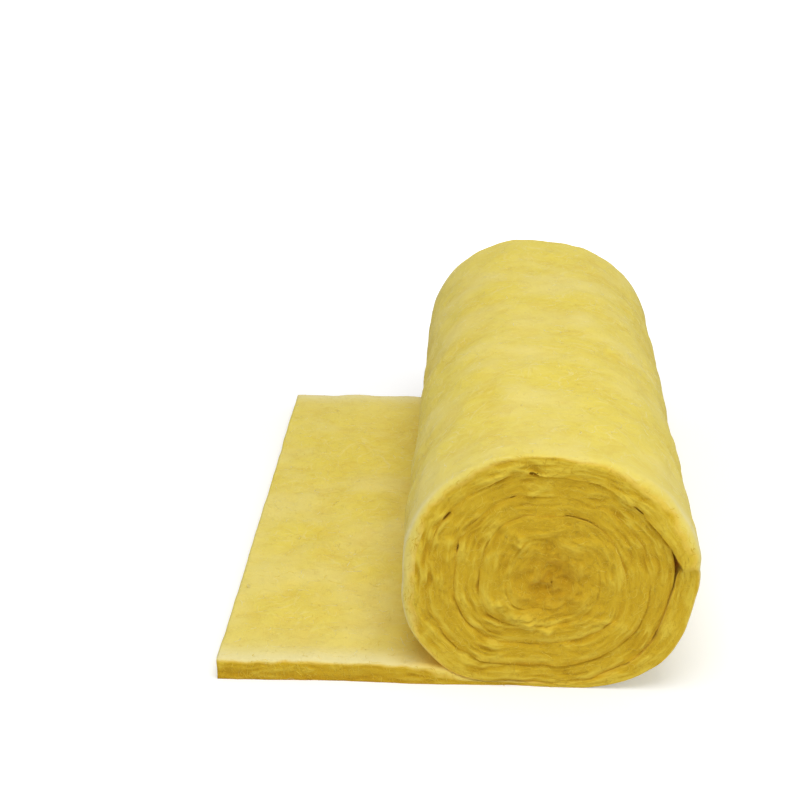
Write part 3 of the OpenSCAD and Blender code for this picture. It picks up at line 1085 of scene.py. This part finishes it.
class FibreBed:
    """The finished mat as a bed that loose fibres are laid on."""

    # Rings along a fibre, and sides round it
    RINGS = 5
    SIDES = 3
    # How squarely a face of the ends looks along the roll, and how far in from the ends it may lie
    END_FACING, END_DEPTH = 0.75, 0.04
    # The most that an outside face looks along the roll, the least that it looks up, and how far from
    # the ends it starts
    OUTSIDE_FACING, UP_FACING, RIM = 0.6, -0.6, 0.004
    # How far a face on top of the free end looks up, and how high it may lie
    TOP_FACING, TOP_HEIGHT = 0.2, 0.05
    # How far the outside and the free end reach past the side of the roll
    OUTSIDE_RUN, TOP_RUN = 0.01, 0.05
    # Faces drawn for each fibre, and the room that a fibre needs in front of its face
    TRIES = 6
    ROOM_START, ROOM = 0.002, 0.05
    # How far fibres bow and wave, as shares of half their length, the share of the bow that its middle
    # takes, and the angle of the wave at a tip, in radians
    BOW, WAVE = 0.45, 0.16
    BOW_MIDDLE = 0.4
    WAVE_ANGLE = 4.0
    # Share of the tips that stand up, and how many times further they do
    STANDING, STAND = 0.04, 4.0
    # How rare coarse wisps are, and how thick the tips are, as a share of the middle
    RARITY = 5
    TIP = 0.25
    # Least length that a vector is divided by
    SHORTEST = 1e-9

    def __init__(self, mat, winding, settings):
        self.settings = settings
        self.eye = np.array([winding.eye[0], 0.0, winding.eye[1]])
        self.end = winding.sizes.width / 2
        self.roll_side = winding.roll_side
        self.centres = self.read(mat, "center", 3)
        self.normals = self.read(mat, "normal", 3)
        self.areas = self.read(mat, "area", 1).ravel()
        self.tree = BVHTree.FromObject(mat, bpy.context.evaluated_depsgraph_get())
        self.ring_of, self.around, self.faces = self.straight_fibre()

    def read(self, mat, name, width):
        """A value of every face of the mat."""
        values = np.empty(len(mat.data.polygons) * width)
        mat.data.polygons.foreach_get(name, values)
        return values.reshape(-1, width)

    def straight_fibre(self):
        """A slim tube, modelled once: each vertex's ring, its place on the ring, and the faces."""
        bpy.ops.object.select_all(action="DESELECT")
        bpy.ops.mesh.primitive_cylinder_add(vertices=self.SIDES, radius=0.5, depth=1.0)
        fibre = bpy.context.object
        bpy.ops.object.mode_set(mode="EDIT")
        pick_edges(fibre, lambda a, b: abs(a.z - b.z) > 0.5)
        bpy.ops.mesh.subdivide(number_cuts=self.RINGS - 2)
        bpy.ops.object.mode_set(mode="OBJECT")
        places = np.array([vertex.co for vertex in fibre.data.vertices])
        faces = [list(polygon.vertices) for polygon in fibre.data.polygons]
        bpy.data.meshes.remove(fibre.data)
        return np.rint((places[:, 2] + 0.5) * (self.RINGS - 1)).astype(int), places[:, :2], faces

    def on_end(self, side):
        """Faces of the near end for side -1, of the far end for side 1."""
        facing = self.normals[:, 1] * side > self.END_FACING
        return facing & (self.centres[:, 1] * side > self.end - self.END_DEPTH)

    def outside(self):
        """Faces of the roll's outside."""
        facing = (np.abs(self.normals[:, 1]) < self.OUTSIDE_FACING) & (self.normals[:, 2] > self.UP_FACING)
        inland = np.abs(self.centres[:, 1]) < self.end - self.RIM
        return facing & inland & (self.centres[:, 0] > self.roll_side - self.OUTSIDE_RUN)

    def free_end(self):
        """Faces on top of the free end."""
        facing = (self.normals[:, 2] > self.TOP_FACING) & (self.centres[:, 2] < self.TOP_HEIGHT)
        return facing & (self.centres[:, 0] < self.roll_side + self.TOP_RUN)

    def starts(self, wanted, count, rng):
        """Places and normals on the wanted faces that have room in front of them."""
        chosen = np.flatnonzero(wanted)
        share = self.areas[chosen] / self.areas[chosen].sum()
        clear = []
        for face in rng.choice(chosen, size=self.TRIES * count, p=share):
            normal = Vector(self.normals[face])
            start = Vector(self.centres[face]) + normal * self.ROOM_START
            if self.tree.ray_cast(start, normal, self.ROOM)[0] is None:
                clear.append(face)
        return self.centres[clear[:count]], self.normals[clear[:count]]

    def headings(self, centres, normals, follow, rng):
        """The way that each fibre runs on its face, and the way across it."""
        winding = np.cross(normals, centres - self.eye)
        winding[:, 1] *= 1 - follow
        turn = rng.normal(0.0, 1.0, len(centres)) * (1 - follow) * math.pi
        cosine, sine = np.cos(turn)[:, None], np.sin(turn)[:, None]
        heading = self.unit(winding - normals * np.sum(winding * normals, 1, keepdims=True))
        aside = np.cross(normals, heading)
        return heading * cosine + aside * sine, aside * cosine - heading * sine

    def lay(self, name, wanted, count, follow, tones, seed):
        """Lays fibres on the wanted faces. Follow says how closely they keep to the winding, and tones
        are the darkest and the palest of them."""
        rng = np.random.default_rng(seed)
        settings = self.settings
        centres, normals = self.starts(wanted, count, rng)
        count = len(centres)
        heading, aside = self.headings(centres, normals, follow, rng)
        reach = rng.uniform(settings.shortest, settings.longest, count) * rng.uniform(0.5, 1.0, count)
        bow = rng.normal(0.0, self.BOW, count)
        wave = rng.normal(0.0, self.WAVE, count)
        tips = np.abs(rng.normal(0.0, settings.lift, (2, count)))
        tips = tips * np.where(rng.random((2, count)) < self.STANDING, self.STAND, 1.0)
        lines = np.empty((count, self.RINGS, 3))
        ups = np.empty((count, self.RINGS, 3))
        for ring, t in enumerate(np.linspace(-1.0, 1.0, self.RINGS)):
            swing = bow * (t * t - self.BOW_MIDDLE) + wave * math.sin(self.WAVE_ANGLE * t)
            points = centres + (heading * t + aside * swing[:, None]) * (reach / 2)[:, None]
            raised = np.where(t < 0, tips[0], tips[1]) * t * t
            for i, point in enumerate(points):
                place, normal = self.tree.find_nearest(Vector(point))[:2]
                lines[i, ring] = place + normal * raised[i]
                ups[i, ring] = normal
        coarse = rng.random(count) ** self.RARITY
        wide = settings.finest + (settings.coarsest - settings.finest) * coarse
        tone = tones[0] + (tones[1] - tones[0]) * rng.random(count)
        return self.join(name, lines, ups, wide, settings.finest * (1 + coarse), tone)

    def unit(self, vectors):
        """The same vectors, each with a length of 1."""
        return vectors / np.maximum(np.linalg.norm(vectors, axis=-1, keepdims=True), self.SHORTEST)

    def join(self, name, lines, ups, wide, thick, tones):
        """One mesh of all the fibres, each a copy of the straight one that is bent to its line."""
        ahead = self.unit(np.gradient(lines, axis=1))
        sides = self.unit(np.cross(ahead, ups))
        ups = np.cross(sides, ahead)
        taper = self.TIP + (1 - self.TIP) * np.sqrt(1 - np.linspace(-1.0, 1.0, self.RINGS) ** 2)
        rings = self.ring_of
        across = self.around[:, 0] * taper[rings] * wide[:, None]
        upward = self.around[:, 1] * taper[rings] * thick[:, None]
        places = lines[:, rings] + sides[:, rings] * across[..., None] + ups[:, rings] * upward[..., None]
        places[..., 2] = np.maximum(places[..., 2], 0.0)
        each = len(rings)
        faces = [[each * copy + corner for corner in face]
                 for copy in range(len(lines)) for face in self.faces]
        mesh = bpy.data.meshes.new(name)
        mesh.from_pydata(places.reshape(-1, 3).tolist(), [], faces)
        tone = mesh.attributes.new("tone", "FLOAT", "POINT")
        tone.data.foreach_set("value", np.repeat(tones, each))
        fibres = bpy.data.objects.new(name, mesh)
        bpy.context.collection.objects.link(fibres)
        finish_mesh(fibres)
        return fibres


def fibre_material(colours):
    """Loose glass fibres: fine, pale and a little glossier than the wool."""
    material, shader = new_material("loose_fibres", {"Roughness": 0.7, "Specular IOR Level": 0.25})
    shading = Shading(material.node_tree)
    patchy = shading.noise(shading.place(), 60.0, 3.0)
    shade = shading.total((shading.attribute("tone"), 0.8), (patchy, 0.2))
    base = colours.middle
    for low, high, paler in ((0.1, 0.5, colours.crest), (0.5, 0.7, colours.pale), (0.7, 0.9, colours.frost)):
        base = shading.mix(shading.ranged(shade, low, high), base, paler)
    shading.feed(shader.inputs["Base Color"], base)
    shading.feed(shader.inputs["Normal"], shading.bump(0.3, 0.0002, patchy))
    return material


class WOOL_OT_fibres(bpy.types.Operator):
    """Lays loose fibres on the ends, the outside and the free end of the mat"""

    bl_idname = "wool.fibres"
    bl_label = "Loose Fibres"

    def execute(self, context):
        scene = context.scene
        settings = scene.fibre_settings
        bed = FibreBed(bpy.data.objects[MAT], Winding(scene.mat_sizes), settings)
        material = fibre_material(scene.wool_colours)
        # Name, faces, number of fibres, how closely they follow the winding, darkest and palest tone
        beds = (
            ("near_end_fibres", bed.on_end(-1), settings.end_count, 0.8, (0.0, 0.55)),
            ("far_end_fibres", bed.on_end(1), settings.end_count, 0.8, (0.0, 0.55)),
            ("outside_fibres", bed.outside(), settings.outside_count, 0.2, (0.65, 1.0)),
            ("free_end_fibres", bed.free_end(), settings.floor_count, 0.0, (0.5, 1.0)),
        )
        for seed, (name, wanted, count, follow, tones) in enumerate(beds):
            fibres = bed.lay(name, wanted, count, follow, tones, seed)
            fibres.data.materials.append(material)
            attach(fibres, BODY)
        return {"FINISHED"}


# Where the floor starts to fade to white and where it is white, in metres from its middle
FADE_START, FADE_END = 0.7, 2.5
# How much the floor glows for the camera in its middle, and how much more where it is white
GLOW, ADDED_GLOW = 0.30, 0.8


def floor_material():
    """Pale floor that keeps the roll's shadow and that the camera sees as white further off."""
    material, shader = new_material("studio_floor", {
        "Base Color": (0.80, 0.80, 0.80, 1.0),
        "Roughness": 1.0,
        "Specular IOR Level": 0.0,
        "Emission Color": WHITE,
    })
    shading = Shading(material.node_tree)
    away = shading.node("ShaderNodeVectorMath", {0: shading.place()}, operation="LENGTH").outputs["Value"]
    faded = shading.ranged(away, FADE_START, FADE_END)
    glow = shading.maths("MULTIPLY_ADD", faded, ADDED_GLOW, GLOW)
    shading.feed(shader.inputs["Emission Strength"], shading.times(shading.camera_ray(), glow))
    return material


class WOOL_OT_stage(bpy.types.Operator):
    """Adds the floor, the lights and the camera"""

    bl_idname = "wool.stage"
    bl_label = "Studio Stage"

    def execute(self, context):
        scene = context.scene
        settings = scene.stage_settings
        bpy.ops.object.select_all(action="DESELECT")
        bpy.ops.mesh.primitive_plane_add(size=settings.floor)
        floor = context.object
        floor.name = "studio_floor"
        floor.data.materials.append(floor_material())
        for name in ("key", "fill", "back"):
            self.add_light(settings, name)
        self.add_sky(scene, settings)
        self.add_camera(scene, settings)
        scene.view_settings.view_transform = "Standard"
        return {"FINISHED"}

    def add_light(self, settings, name):
        """A soft square light that faces the target."""
        place = Vector(getattr(settings, name + "_place"))
        bpy.ops.object.light_add(type="AREA", location=place)
        lamp = bpy.context.object
        lamp.name = name + "_light"
        lamp.data.energy = getattr(settings, name)
        lamp.data.size = getattr(settings, name + "_size")
        lamp.rotation_euler = (Vector(settings.target) - place).to_track_quat("-Z", "Y").to_euler()

    def add_sky(self, scene, settings):
        """Plain white surroundings that light the roll softly and that the camera sees as white."""
        scene.world = bpy.data.worlds.new("studio_sky")
        scene.world.use_nodes = True
        shading = Shading(scene.world.node_tree)
        background = scene.world.node_tree.nodes["Background"]
        background.inputs["Color"].default_value = WHITE
        strength = shading.between(shading.camera_ray(), settings.sky, 1.0)
        shading.feed(background.inputs["Strength"], strength)

    def add_camera(self, scene, settings):
        bpy.ops.object.camera_add(location=settings.camera)
        camera = bpy.context.object
        camera.rotation_euler = (math.pi / 2 - settings.tilt, 0.0, settings.turn)
        camera.data.lens = settings.lens
        camera.data.sensor_width = settings.sensor
        camera.data.clip_end = settings.sight
        scene.camera = camera


class WOOL_PT_panel(bpy.types.Panel):
    """Lists the pieces of the roll in the sidebar"""

    bl_idname = "WOOL_PT_panel"
    bl_label = "Wool Roll"
    bl_space_type = "VIEW_3D"
    bl_region_type = "UI"
    bl_category = "Wool Roll"

    def draw(self, context):
        for operator in (WOOL_OT_mat, WOOL_OT_fibres, WOOL_OT_stage):
            self.layout.operator(operator.bl_idname)


SETTINGS = {
    "mat_sizes": MatSizes,
    "mat_relief": MatRelief,
    "fibre_settings": FibreSettings,
    "wool_colours": WoolColours,
    "stage_settings": StageSettings,
}
CLASSES = (*SETTINGS.values(), WOOL_OT_mat, WOOL_OT_fibres, WOOL_OT_stage, WOOL_PT_panel)


def register():
    for cls in CLASSES:
        bpy.utils.register_class(cls)
    for name, group in SETTINGS.items():
        setattr(bpy.types.Scene, name, PointerProperty(type=group))


def unregister():
    for name in SETTINGS:
        delattr(bpy.types.Scene, name)
    for cls in reversed(CLASSES):
        bpy.utils.unregister_class(cls)


def main():
    register()
    bpy.ops.wool.mat()
    bpy.ops.wool.fibres()
    bpy.ops.wool.stage()


if __name__ == "__main__":
    main()
